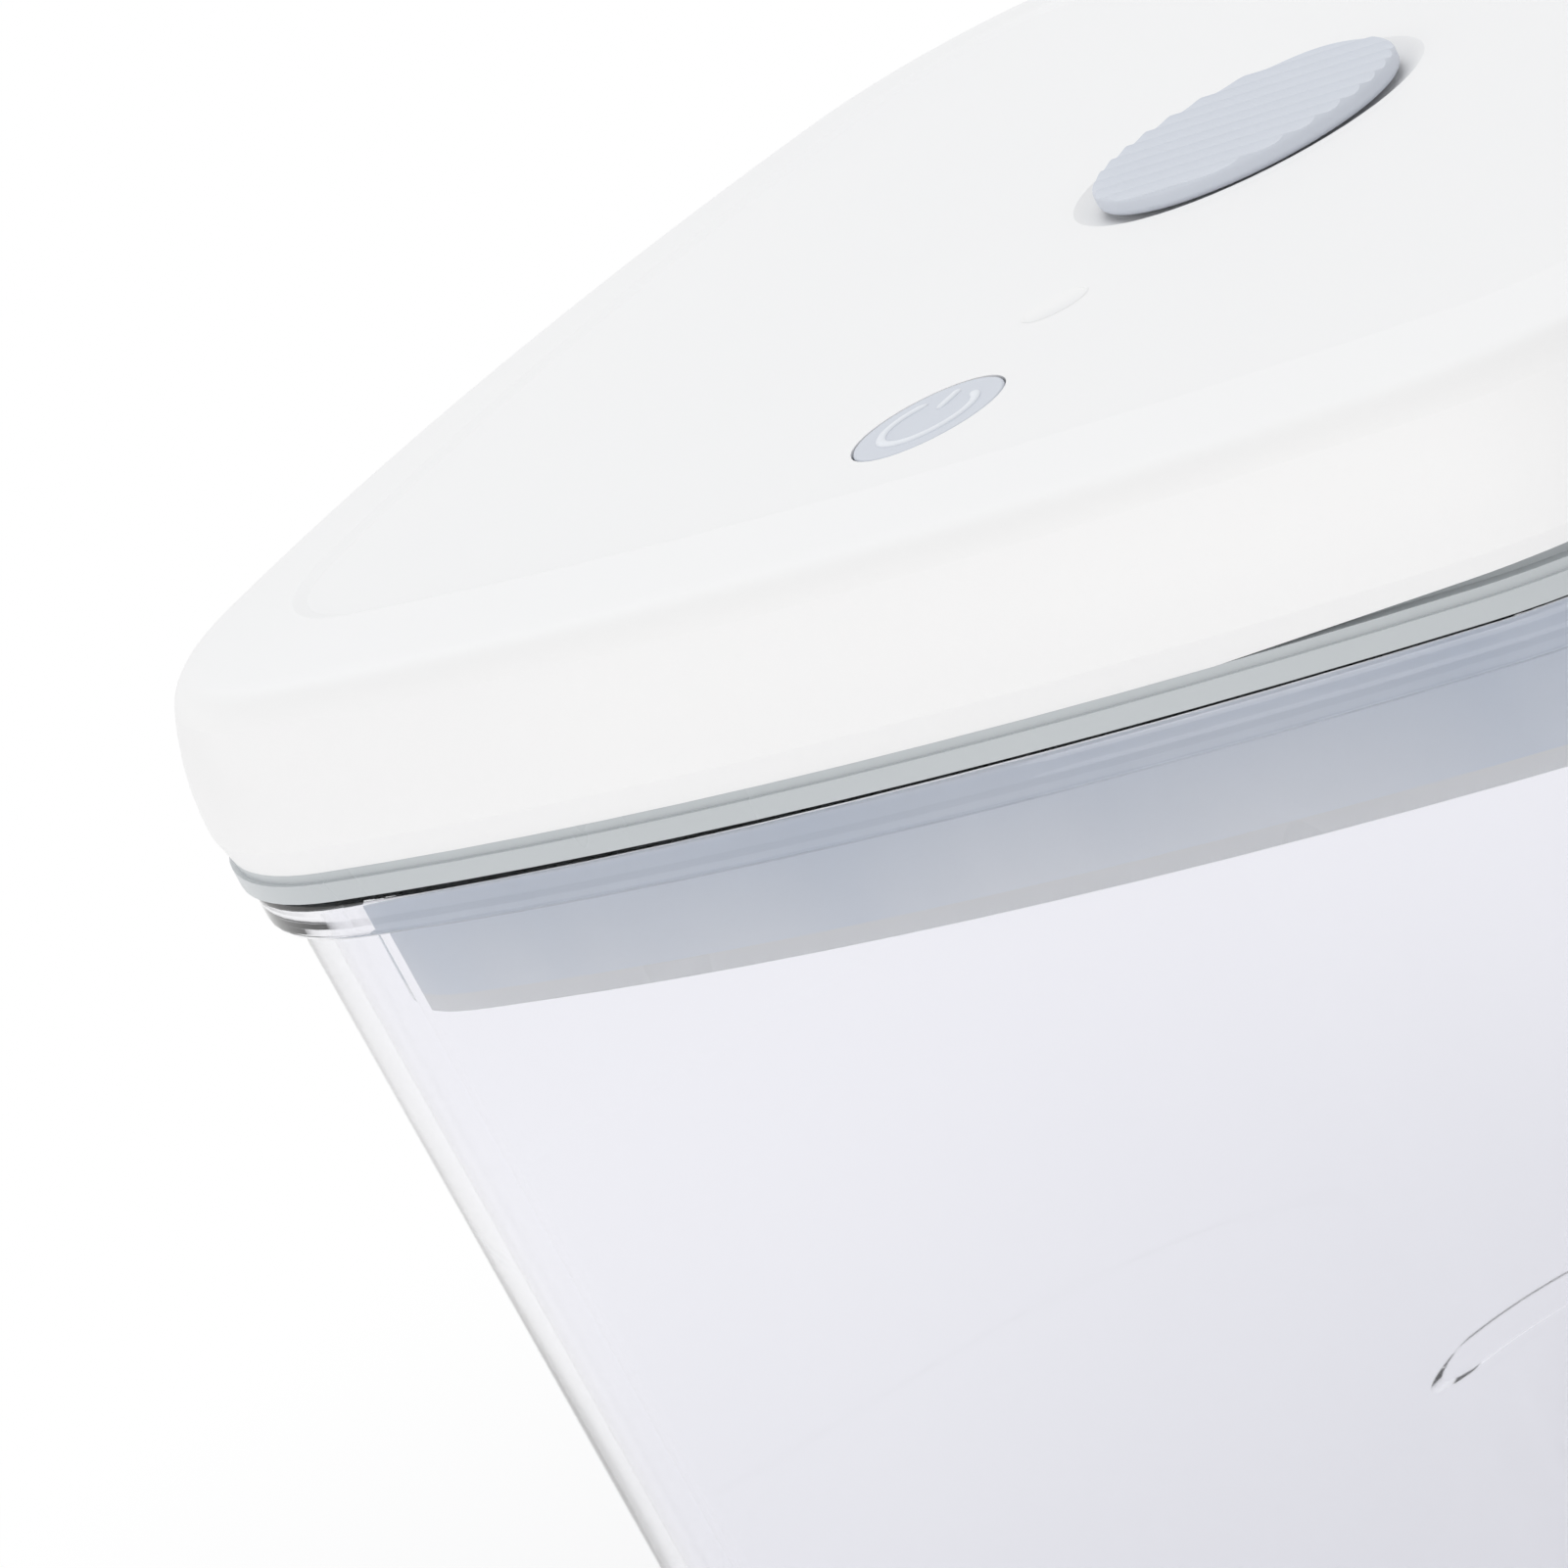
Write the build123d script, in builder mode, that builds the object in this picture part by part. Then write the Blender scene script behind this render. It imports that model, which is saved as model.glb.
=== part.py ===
from build123d import *
import math
import os

os.makedirs("parts", exist_ok=True)

# A vacuum pet food container: a clear tub closed by a lid that pumps the air out.
# Millimetres, +Z up, +X to the right along the front, +Y to the back.
# The origin is at the middle of what it stands on.

# Plan of the lid and tub: a rectangle with bowed sides and round corners
lid_width = 250.0
lid_depth = 217.0
front_bow_radius = 543.0
side_bow_radius = 355.0
corner_radius = 46.5

# Clearances
running_gap = 0.05
seat_gap = 0.1
soft_gap = 0.25
button_gap = 0.25

# Tub
tub_height = 262.0
tub_wall = 2.6
tub_floor = 3.2
tub_inset = 3.7
tub_draft_inset = 2.4
tub_bottom_radius = 11.0
rim_inset = 1.2
rim_height = 5.0
rim_round = 1.1
foot_radius = 9.0
foot_proud = 0.8
foot_pocket = 0.8
foot_inset = 40.0
level_mark_z = 98.0
level_mark_end = 10.5
level_mark_width = 4.0
level_mark_proud = 0.5

# Lid base: the ring that shows, the plug in the tub's mouth and its lower lip
ring_relief = 0.6
ring_height = 3.4
ring_inset = 0.3
ring_ledge_inset = 0.9
ring_ledge_height = 1.1
landing_inset = 3.4
landing_width = 2.0
groove_inset = 13.6
lip_inset = 11.6
lip_thickness = 2.2
seal_height = 17.9
plug_wall = 2.2
plug_floor = 2.2
locating_height = 5.0
locating_wall = 1.6

# Gasket
gasket_rise = 17.7
fin_height = 1.4
fin_drop = 2.0
fin_thickness = 1.1

# Lid shell
shell_wall = 2.5
skirt_height = 20.9
skirt_tuck = 0.8
shoulder_run = 8.0
shoulder_rise = 17.0
shoulder_crest_radius = 5.5
band_run = 21.8
band_rise = 1.1
panel_drop = 0.5
panel_slope = 1.6
lift_notch_depth = 1.8
lift_notch_span = 106.0
lift_notch_start = 0.6

# Release knob and the valve that it lifts
knob_y = 0.0
knob_radius = 18.5
knob_thickness = 2.5
knob_sink = 0.6
knob_edge = 0.8
knob_rib_pitch = 3.4
knob_rib_depth = 0.45
knob_travel = 4.0
dish_radius = 21.5
dish_flat_radius = 17.5
dish_depth = 1.4
dish_bow = 0.62
stem_radius = 3.0
spigot_radius = 2.0
barb_radius = 2.7
barb_height = 1.2
collar_radius = 4.6
collar_thickness = 1.5
chimney_radius = 11.0
chimney_bore = 8.5
vent_radius = 4.2
vent_seat_width = 1.2
vent_seat_height = 0.8
seal_radius = 7.2
seal_thickness = 2.2
guide_height = 4.0
guide_hub_radius = 5.0
guide_rim = 1.2
guide_spoke = 1.8

# Power button, its switch and the circuit board
button_front = 39.0
button_radius = 8.8
button_flange = 1.2
button_flange_height = 1.0
button_stem_radius = 2.0
button_travel = 0.4
button_guide_wall = 1.4
button_guide_drop = 4.0
board_drop = 13.0
board_width = 66.0
board_depth = 50.0
board_thickness = 1.6
board_front = 43.5
board_corner = 3.0
switch_size = 6.2
switch_height = 3.4
plunger_radius = 1.7
plunger_height = 1.2
board_post_radius = 3.0
board_screw_x = 28.0
board_screw_y = 20.0
controller_x = -14.0
controller_y = 8.0
controller_size = 7.0
controller_height = 1.0
driver_x = 14.0
driver_y = 6.0
driver_size = 5.0
driver_height = 2.6
wire_socket_x = 24.0
battery_plug_y = 2.0
motor_plug_y = -4.0
wire_socket_width = 8.0
wire_socket_depth = 6.0
wire_socket_height = 5.0
wire_socket_wall = 0.8

# Indicator light
lens_front = 65.5
lens_radius = 3.6
lens_flange = 1.0
lens_flange_height = 0.8
lens_sink = 0.4
lens_stem_radius = 1.8
led_size = 2.4
led_height = 0.9

# Vacuum pump
pump_side = 63.0
pump_back = 78.5
pump_height = 15.0
motor_radius = 12.0
motor_length = 30.0
motor_shaft_radius = 1.0
head_size = 26.0
housing_length = 12.0
diaphragm_thickness = 1.2
valve_head_length = 7.0
head_cavity_radius = 9.5
head_cavity_length = 9.0
cam_radius = 5.0
cam_offset = 1.6
cam_length = 5.0
cam_clearance = 1.0
nozzle_radius = 1.6
nozzle_length = 6.0
nozzle_bore = 0.8
tube_wall = 0.9
tube_bend = 8.0
strap_width = 10.0
strap_thickness = 1.0
strap_ear = 8.0
post_radius = 3.2

# Battery
battery_side = 63.0
battery_y = 22.0
battery_radius = 9.2
battery_length = 65.0
battery_cap_radius = 3.0
battery_cap_height = 1.2
cradle_wall = 2.0

# Screws
corner_screw_side = 37.0
corner_screw_front = 36.5
side_screw_inset = 24.0
screw_radius = 1.5
screw_head_radius = 2.8
screw_head_height = 1.8
screw_socket_radius = 1.2
shell_screw_length = 14.0
boss_radius = 4.4
boss_meet = 11.0
screw_recess = 4.0
small_screw_radius = 1.1
small_head_radius = 2.0
small_head_height = 1.3
small_screw_length = 7.0

# Charging port in the back skirt
port_x = 0.0
port_width = 9.0
port_height = 3.2
port_depth = 7.4
port_wall = 0.35
port_back_wall = 1.0
port_tongue_width = 6.5
port_tongue_thickness = 0.8
port_board_width = 26.0
port_board_depth = 15.0
port_board_thickness = 1.2
port_board_gap = 0.5
port_board_clearance = 1.0
port_screw_inset = 2.5
port_screw_back = 4.0
port_screw_length = 2.3
port_cut_depth = 7.5
port_recess_width = 13.0
port_recess_height = 5.0
port_recess_depth = 0.8

# Filtered inlet under the lid, and the valve and sensor on it
inlet_reach = 32.0
inlet_bore = 1.6
inlet_boss_wall = 2.0
valve_radius = 5.0
valve_height = 3.0
sensor_x = -34.0
sensor_y = -30.0
sensor_size = 8.0
sensor_height = 4.0
sensor_bore = 1.0
filter_radius = 8.0
filter_thickness = 1.6
filter_cap_radius = 10.0
filter_cap_thickness = 1.4
filter_cap_slots = 5
filter_slot_pitch = 2.8
filter_slot_length = 10.0
filter_slot_width = 1.2

# Places measured in from the lid's edges
button_y = button_front - lid_depth / 2
board_y = board_front - lid_depth / 2
lens_y = lens_front - lid_depth / 2
pump_x = pump_side - lid_width / 2
pump_y = lid_depth / 2 - pump_back
battery_x = lid_width / 2 - battery_side
inlet_y = pump_y + inlet_reach
shell_screw_x = lid_width / 2 - corner_screw_side
shell_screw_y = lid_depth / 2 - corner_screw_front
side_screw_x = lid_width / 2 - side_screw_inset

# Heights worked out from the sizes above
rim_top = foot_proud + tub_height
ring_bottom = rim_top + ring_relief
skirt_bottom = ring_bottom + ring_height
panel_top = skirt_bottom + skirt_height
band_top = panel_top + panel_drop
lip_top = ring_bottom - seal_height
lip_bottom = lip_top - lip_thickness
floor_top = lip_bottom + plug_floor
ceiling = panel_top - shell_wall
board_top = panel_top - board_drop

pump_axis_z = floor_top + pump_height
battery_axis_z = floor_top + battery_radius + cradle_wall
vent_seat_top = floor_top + vent_seat_height
seal_top = vent_seat_top + seal_thickness
knob_bottom = panel_top - knob_sink
knob_top = knob_bottom + knob_thickness
switch_top = board_top + switch_height
plunger_top = switch_top + plunger_height
port_board_top = skirt_bottom + port_board_thickness
port_z = port_board_top + port_height / 2
shell_back = lid_depth / 2 - shell_wall
inlet_x = pump_x + housing_length + diaphragm_thickness + valve_head_length / 2
filter_top = lip_bottom + filter_cap_thickness + filter_thickness
inlet_boss_top = filter_top + inlet_boss_wall
valve_top = inlet_boss_top + valve_height
nipple_height = pump_axis_z - valve_top - tube_bend

# Shoulder of the shell: a long flank and a tighter crest, each tangent to the other
shoulder_head = band_top - band_rise
shoulder_foot = shoulder_head - shoulder_rise
crest_z = shoulder_head - shoulder_crest_radius
flank_gain = shoulder_run - shoulder_crest_radius
flank_radius = ((crest_z - shoulder_foot) ** 2 / flank_gain + shoulder_run + shoulder_crest_radius) / 2
flank_turn = math.degrees(math.atan2(crest_z - shoulder_foot, flank_radius - shoulder_run))

# Places that several pieces share
shell_screws = [(x * shell_screw_x, y * shell_screw_y) for x in (-1, 1) for y in (-1, 1)]
shell_screws += [(-side_screw_x, 0), (side_screw_x, 0)]
board_screws = [(x * board_screw_x, board_y + y * board_screw_y) for x in (-1, 1) for y in (-1, 1)]
motor_cradles = [pump_x - motor_length / 2 + x * motor_length / 4 for x in (-1, 1)]
battery_cradles = [battery_y + y * battery_length / 3 for y in (-1, 1)]
motor_strap_reach = motor_radius + strap_thickness + strap_ear / 2
battery_strap_reach = battery_radius + strap_thickness + strap_ear / 2
strap_posts = [(pump_x - motor_length / 2, pump_y + y * motor_strap_reach, pump_axis_z) for y in (-1, 1)]
strap_posts += [(battery_x + x * battery_strap_reach, battery_y, battery_axis_z) for x in (-1, 1)]
battery_start = battery_y - battery_length / 2
port_screw_reach = port_board_width / 2 - port_screw_inset
port_screws = [port_x + x * port_screw_reach for x in (-1, 1)]
port_screw_y = shell_back - port_screw_back
diaphragm_x = pump_x + housing_length
valve_head_x = diaphragm_x + diaphragm_thickness
wire_socket_places = [(-wire_socket_x, board_y + battery_plug_y), (wire_socket_x, board_y + motor_plug_y)]

# Where the bowed sides and the round corners of the plan meet
front_centre = front_bow_radius - lid_depth / 2
side_centre = side_bow_radius - lid_width / 2
front_reach = front_bow_radius - corner_radius
side_reach = side_bow_radius - corner_radius
between = math.hypot(side_centre, front_centre)
along = (front_reach**2 - side_reach**2 + between**2) / (2 * between)
across = math.sqrt(front_reach**2 - along**2)
corner_x = (across * front_centre - along * side_centre) / between
corner_y = (across * side_centre + along * front_centre) / between - front_centre
front_turn = math.degrees(math.atan2(corner_x, corner_y + front_centre))
side_turn = math.degrees(math.atan2(corner_y, corner_x + side_centre))
corner_turn = 90 - front_turn - side_turn

# The section plane of every swept rim stands where the front side meets the left corner:
# first along the inset, then up
meeting = math.radians(front_turn)
section_plane = Plane(
    origin=(-front_bow_radius * math.sin(meeting), front_centre - front_bow_radius * math.cos(meeting), 0),
    x_dir=(math.sin(meeting), math.cos(meeting), 0),
    z_dir=(math.cos(meeting), -math.sin(meeting), 0),
)


def outline(inset=0.0):
    """The plan's eight arcs, from the left end of the front, drawn in by an inset."""
    front, side, corner = front_bow_radius - inset, side_bow_radius - inset, corner_radius - inset
    CenterArc((0, front_centre), front, -90 - front_turn, 2 * front_turn)
    CenterArc((corner_x, -corner_y), corner, front_turn - 90, corner_turn)
    CenterArc((-side_centre, 0), side, -side_turn, 2 * side_turn)
    CenterArc((corner_x, corner_y), corner, side_turn, corner_turn)
    CenterArc((0, -front_centre), front, 90 - front_turn, 2 * front_turn)
    CenterArc((-corner_x, corner_y), corner, 90 + front_turn, corner_turn)
    CenterArc((side_centre, 0), side, 180 - side_turn, 2 * side_turn)
    CenterArc((-corner_x, -corner_y), corner, 180 + side_turn, corner_turn)


def plan_at(inset, height):
    """The plan as a flat face at a height."""
    with BuildSketch(Plane.XY.offset(height)) as plan:
        with BuildLine():
            outline(inset)
        make_face()
    return plan.sketch


def slab(inset, low, high, mode=Mode.ADD):
    """A plate or a pocket with the plan's outline."""
    extrude(plan_at(inset, low), amount=high - low, mode=mode)


def band(outer, inner, low, high, mode=Mode.ADD):
    """A wall that follows the plan between two insets."""
    with BuildSketch(Plane.XY.offset(low)) as plan:
        with BuildLine():
            outline(outer)
        make_face()
        with BuildLine():
            outline(inner)
        make_face(mode=Mode.SUBTRACT)
    extrude(plan.sketch, amount=high - low, mode=mode)


def column(x, y, low, high, radius, mode=Mode.ADD):
    """A round post or hole from one height to another."""
    with BuildSketch(Plane((x, y, low))) as disc:
        Circle(radius)
    extrude(disc.sketch, amount=high - low, mode=mode)


def block(x, y, low, high, width, depth, mode=Mode.ADD):
    """A square-cornered post or pocket."""
    with BuildSketch(Plane((x, y, low))) as plan:
        Rectangle(width, depth)
    extrude(plan.sketch, amount=high - low, mode=mode)


def rod(x, y, z, length, radius, axis="x", mode=Mode.ADD):
    """A round bar along X or Y, from its start."""
    direction = (1, 0, 0) if axis == "x" else (0, 1, 0)
    with BuildSketch(Plane(origin=(x, y, z), z_dir=direction)) as disc:
        Circle(radius)
    extrude(disc.sketch, amount=length, mode=mode)


def swept_rim():
    """The section drawn last, carried once round the plan."""
    with BuildLine() as path:
        outline()
    sweep(path=path.wires()[0])


def finish(builder, name):
    """Names a finished piece and writes it."""
    builder.part.label = name
    export_step(builder.part, f"parts/{name}.step")


# Clear tub: drafted walls, a rounded foot, a bead round the mouth and a raised line round the back
with BuildPart() as tub_space:
    with BuildSketch(Plane.XY.offset(foot_proud + tub_floor)):
        with BuildLine():
            outline(tub_inset + tub_draft_inset + tub_wall)
        make_face()
    with BuildSketch(Plane.XY.offset(rim_top)):
        with BuildLine():
            outline(tub_inset + tub_wall)
        make_face()
    loft(ruled=True)
    fillet(tub_space.faces().sort_by(Axis.Z)[0].edges(), tub_bottom_radius - tub_wall)

with BuildPart() as level_mark:
    with BuildSketch(Plane.XY.offset(foot_proud)):
        with BuildLine():
            outline(tub_inset + tub_draft_inset - level_mark_proud)
        make_face()
    with BuildSketch(Plane.XY.offset(rim_top)):
        with BuildLine():
            outline(tub_inset - level_mark_proud)
        make_face()
    loft(ruled=True)
    with BuildSketch(Plane(origin=(0, 0, level_mark_z), x_dir=(1, 0, 0), z_dir=(0, -1, 0))):
        SlotOverall(lid_width - 2 * level_mark_end, level_mark_width)
    extrude(amount=-lid_depth, mode=Mode.INTERSECT)

with BuildPart() as container_body:
    with BuildSketch(Plane.XY.offset(foot_proud)):
        with BuildLine():
            outline(tub_inset + tub_draft_inset)
        make_face()
    with BuildSketch(Plane.XY.offset(rim_top)):
        with BuildLine():
            outline(tub_inset)
        make_face()
    loft(ruled=True)
    fillet(container_body.faces().sort_by(Axis.Z)[0].edges(), tub_bottom_radius)
    add(level_mark.part)
    with BuildSketch(section_plane):
        with Locations((rim_inset, rim_top - rim_height)):
            RectangleRounded(2 * tub_wall, rim_height, rim_round, align=(Align.MIN, Align.MIN))
    swept_rim()
    add(tub_space.part, mode=Mode.SUBTRACT)
    for x in (-1, 1):
        for y in (-1, 1):
            column(
                x * (lid_width / 2 - foot_inset),
                y * (lid_depth / 2 - foot_inset),
                foot_proud,
                foot_proud + foot_pocket,
                foot_radius + seat_gap,
                Mode.SUBTRACT,
            )
finish(container_body, "container_body")

# Four soft feet in their pockets
with BuildPart() as base_feet:
    for x in (-1, 1):
        for y in (-1, 1):
            column(
                x * (lid_width / 2 - foot_inset),
                y * (lid_depth / 2 - foot_inset),
                0,
                foot_proud + foot_pocket,
                foot_radius,
            )
    fillet(base_feet.faces().group_by(Axis.Z)[0].edges(), foot_proud / 2)
finish(base_feet, "base_feet")


# Lid base: a ring that rests on the tub, a plug with a groove round it, and a floor
with BuildPart() as lid_base:
    slab(ring_inset, ring_bottom, skirt_bottom - ring_ledge_height)
    slab(ring_ledge_inset, skirt_bottom - ring_ledge_height, skirt_bottom)
    slab(groove_inset, lip_top, ring_bottom)
    slab(lip_inset, lip_bottom, lip_top)
    slab(groove_inset + plug_wall, floor_top, skirt_bottom, Mode.SUBTRACT)
    band(landing_inset, landing_inset + landing_width, rim_top, ring_bottom)
    locating_inset = shell_wall + seat_gap
    band(locating_inset, locating_inset + locating_wall, skirt_bottom, skirt_bottom + locating_height)
    # The valve's chimney, its vent and the raised seat round the vent
    column(0, knob_y, floor_top, ceiling, chimney_radius)
    column(0, knob_y, floor_top, ceiling, chimney_bore, Mode.SUBTRACT)
    column(0, knob_y, floor_top, vent_seat_top, vent_radius + vent_seat_width)
    column(0, knob_y, lip_bottom, vent_seat_top, vent_radius, Mode.SUBTRACT)
    # Screw bosses with their heads let in from below
    for x, y in shell_screws:
        column(x, y, floor_top, floor_top + boss_meet, boss_radius)
        column(x, y, lip_bottom, floor_top + boss_meet, screw_radius + soft_gap, Mode.SUBTRACT)
        column(x, y, lip_bottom, lip_bottom + screw_recess, screw_head_radius + soft_gap, Mode.SUBTRACT)
    # Filtered inlet: a boss, a pocket for the filter and its cap, and a bore
    column(inlet_x, inlet_y, floor_top, inlet_boss_top, filter_cap_radius)
    cap_pocket_radius = filter_cap_radius - seat_gap
    column(inlet_x, inlet_y, lip_bottom, lip_bottom + filter_cap_thickness, cap_pocket_radius, Mode.SUBTRACT)
    column(inlet_x, inlet_y, lip_bottom, filter_top, filter_radius + seat_gap, Mode.SUBTRACT)
    column(inlet_x, inlet_y, filter_top, inlet_boss_top, inlet_bore, Mode.SUBTRACT)
    # Sensing port
    column(sensor_x, sensor_y, lip_bottom, floor_top, sensor_bore, Mode.SUBTRACT)
    # Cradles under the motor and the battery, and the posts of their straps
    for x in motor_cradles:
        block(x, pump_y, floor_top, pump_axis_z - motor_radius / 2, cradle_wall, 2 * motor_radius)
    rod(pump_x - motor_length, pump_y, pump_axis_z, motor_length, motor_radius + seat_gap, "x", Mode.SUBTRACT)
    for y in battery_cradles:
        block(battery_x, y, floor_top, battery_axis_z - battery_radius / 2, 2 * battery_radius, cradle_wall)
    rod(battery_x, battery_start, battery_axis_z, battery_length, battery_radius + seat_gap, "y", Mode.SUBTRACT)
    for x, y, post_top in strap_posts:
        column(x, y, floor_top, post_top, post_radius)
        column(x, y, post_top - small_screw_length, post_top, small_screw_radius + running_gap, Mode.SUBTRACT)
    # The charging board sits on the ring, where the locating wall is cut away
    block(
        port_x,
        shell_back,
        skirt_bottom,
        skirt_bottom + locating_height,
        port_board_width + 2 * port_board_clearance,
        port_cut_depth,
        Mode.SUBTRACT,
    )
    for x in port_screws:
        pilot_low = skirt_bottom - ring_height / 2
        column(x, port_screw_y, pilot_low, skirt_bottom, small_screw_radius + running_gap, Mode.SUBTRACT)
finish(lid_base, "lid_base")

# Gasket: a soft band in the groove with a fin that meets the tub's wall
with BuildPart() as gasket:
    with BuildSketch(section_plane):
        with BuildLine():
            fin_tip = tub_inset + tub_wall + soft_gap
            fin_top = ring_bottom - fin_drop
            inner = groove_inset - running_gap
            Polyline(
                (inner, lip_top),
                (inner, lip_top + gasket_rise),
                (lip_inset, lip_top + gasket_rise),
                (lip_inset, fin_top),
                (fin_tip, fin_top + fin_height),
                (fin_tip, fin_top + fin_height - fin_thickness),
                (lip_inset, fin_top - 2 * fin_thickness),
                (lip_inset, lip_top),
                close=True,
            )
        make_face()
    swept_rim()
finish(gasket, "gasket")

# Lid shell: the section of its skirt, shoulder, sloping band and panel step is swept round
with BuildPart() as knob_dish:
    with BuildSketch(Plane(origin=(0, knob_y, 0), x_dir=(1, 0, 0), z_dir=(0, -1, 0))):
        with BuildLine():
            dish_floor = panel_top - dish_depth
            Line((0, dish_floor), (dish_flat_radius, dish_floor))
            ThreePointArc(
                (dish_flat_radius, dish_floor),
                ((dish_flat_radius + dish_radius) / 2, panel_top - dish_depth * dish_bow),
                (dish_radius, panel_top),
            )
            Line((dish_radius, panel_top), (0, panel_top))
            Line((0, panel_top), (0, dish_floor))
        make_face()
    revolve(axis=Axis((0, knob_y, 0), (0, 0, 1)))

with BuildPart() as lid_shell:
    with BuildSketch(section_plane):
        with BuildLine():
            Line((skirt_tuck, skirt_bottom), (0, shoulder_foot))
            CenterArc((flank_radius, shoulder_foot), flank_radius, 180, -flank_turn)
            CenterArc((shoulder_run, crest_z), shoulder_crest_radius, 180 - flank_turn, flank_turn - 90)
            Polyline(
                (shoulder_run, shoulder_head),
                (band_run - panel_slope, band_top),
                (band_run, panel_top),
                (band_run + shell_wall, panel_top),
                (band_run + shell_wall, ceiling),
                (shoulder_run, shoulder_head - shell_wall),
            )
            CenterArc((shoulder_run, crest_z), shoulder_crest_radius - shell_wall, 90, 90 - flank_turn)
            CenterArc((flank_radius, shoulder_foot), flank_radius - shell_wall, 180 - flank_turn, flank_turn)
            Polyline((shell_wall, shoulder_foot), (shell_wall, skirt_bottom), (skirt_tuck, skirt_bottom))
        make_face()
    swept_rim()
    slab(band_run + shell_wall / 2, ceiling, panel_top)
    # Screw bosses and board posts hang from the ceiling
    for x, y in shell_screws:
        column(x, y, floor_top + boss_meet, ceiling + panel_drop, boss_radius)
    for x, y in board_screws:
        column(x, y, board_top, ceiling, board_post_radius)
        column(x, y, board_top, board_top + small_screw_length, small_screw_radius + running_gap, Mode.SUBTRACT)
    for x, y in shell_screws:
        pilot_top = lip_bottom + screw_recess + shell_screw_length + seat_gap
        column(x, y, floor_top + boss_meet, pilot_top, screw_radius + running_gap, Mode.SUBTRACT)
    # Button hole and the collar that guides the button's flange
    guide_bore = button_radius + button_flange + seat_gap
    column(0, button_y, ceiling - button_guide_drop, ceiling, guide_bore + button_guide_wall)
    column(0, button_y, ceiling - button_guide_drop, ceiling, guide_bore, Mode.SUBTRACT)
    column(0, button_y, ceiling, panel_top, button_radius + button_gap, Mode.SUBTRACT)
    column(0, lens_y, ceiling, panel_top, lens_radius + seat_gap, Mode.SUBTRACT)
    # Knob dish, with a deeper floor under it and an air hole over the chimney
    column(0, knob_y, ceiling - dish_depth / 2, ceiling, dish_radius)
    column(0, knob_y, ceiling - dish_depth, ceiling, chimney_radius, Mode.SUBTRACT)
    add(knob_dish.part, mode=Mode.SUBTRACT)
    column(0, knob_y, ceiling - dish_depth, panel_top, chimney_bore - guide_rim, Mode.SUBTRACT)
    # Charging port: a slot through the back skirt in a shallow recess
    slot_plane = Plane(origin=(port_x, lid_depth / 2 + shell_wall, port_z), x_dir=(1, 0, 0), z_dir=(0, -1, 0))
    with BuildSketch(slot_plane):
        RectangleRounded(port_recess_width, port_recess_height, port_recess_height / 3)
    extrude(amount=shell_wall + port_recess_depth, mode=Mode.SUBTRACT)
    with BuildSketch(slot_plane):
        SlotOverall(port_width + 2 * soft_gap, port_height + 2 * soft_gap)
    extrude(amount=port_cut_depth, mode=Mode.SUBTRACT)
    # Finger notch: the skirt's lower edge rises in a long arch at the front right corner
    notch_radius = (lift_notch_span**2 / 4 + lift_notch_depth**2) / (2 * lift_notch_depth)
    corner_direction = Vector(corner_x, -corner_y).normalized()
    notch_centre = (
        corner_x * lift_notch_start,
        -corner_y * lift_notch_start,
        skirt_bottom + lift_notch_depth - notch_radius,
    )
    with BuildSketch(Plane(origin=notch_centre, z_dir=corner_direction)):
        Circle(notch_radius)
    extrude(amount=lid_width / 2, mode=Mode.SUBTRACT)
finish(lid_shell, "lid_shell")

# Release knob: a ribbed disc on a stem that ends in a barb for the valve's seal
with BuildPart() as release_knob:
    column(0, knob_y, knob_bottom, knob_top, knob_radius)
    fillet(release_knob.edges(), knob_edge)
    rib_count = int(2 * knob_radius / knob_rib_pitch)
    groove_radius = (knob_rib_pitch**2 / 4 + knob_rib_depth**2) / (2 * knob_rib_depth)
    for n in range(rib_count + 1):
        y = knob_y + (n - rib_count / 2) * knob_rib_pitch
        groove_z = knob_top + groove_radius - knob_rib_depth
        rod(-knob_radius, y, groove_z, 2 * knob_radius, groove_radius, "x", Mode.SUBTRACT)
    column(0, knob_y, seal_top, knob_bottom, stem_radius)
    collar_top = ceiling - dish_depth - guide_height - knob_travel
    column(0, knob_y, collar_top - collar_thickness, collar_top, collar_radius)
    column(0, knob_y, vent_seat_top, seal_top, spigot_radius)
    with BuildSketch(Plane.XY.offset(vent_seat_top)):
        Circle(barb_radius)
    with BuildSketch(Plane.XY.offset(vent_seat_top - barb_height)):
        Circle(spigot_radius)
    loft()
finish(release_knob, "release_knob")

# Valve seal: a soft washer held on the stem by its barb
with BuildPart() as valve_seal:
    column(0, knob_y, vent_seat_top, seal_top, seal_radius)
    column(0, knob_y, vent_seat_top, seal_top, spigot_radius + running_gap, Mode.SUBTRACT)
    chamfer(valve_seal.faces().sort_by(Axis.Z)[-1].edges().sort_by(SortBy.LENGTH)[-1], seal_thickness / 3)
finish(valve_seal, "valve_seal")

# Stem guide: a spoked ring at the top of the chimney that lets air past the stem
with BuildPart() as stem_guide:
    guide_low = ceiling - dish_depth - guide_height
    with BuildSketch(Plane((0, knob_y, guide_low))):
        Circle(chimney_bore - seat_gap)
        Circle(chimney_bore - guide_rim, mode=Mode.SUBTRACT)
        with PolarLocations(0, 3):
            with Locations((chimney_bore / 2, 0)):
                Rectangle(chimney_bore - guide_rim, guide_spoke)
        Circle(guide_hub_radius)
        Circle(stem_radius + running_gap, mode=Mode.SUBTRACT)
    extrude(amount=guide_height)
finish(stem_guide, "stem_guide")

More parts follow.
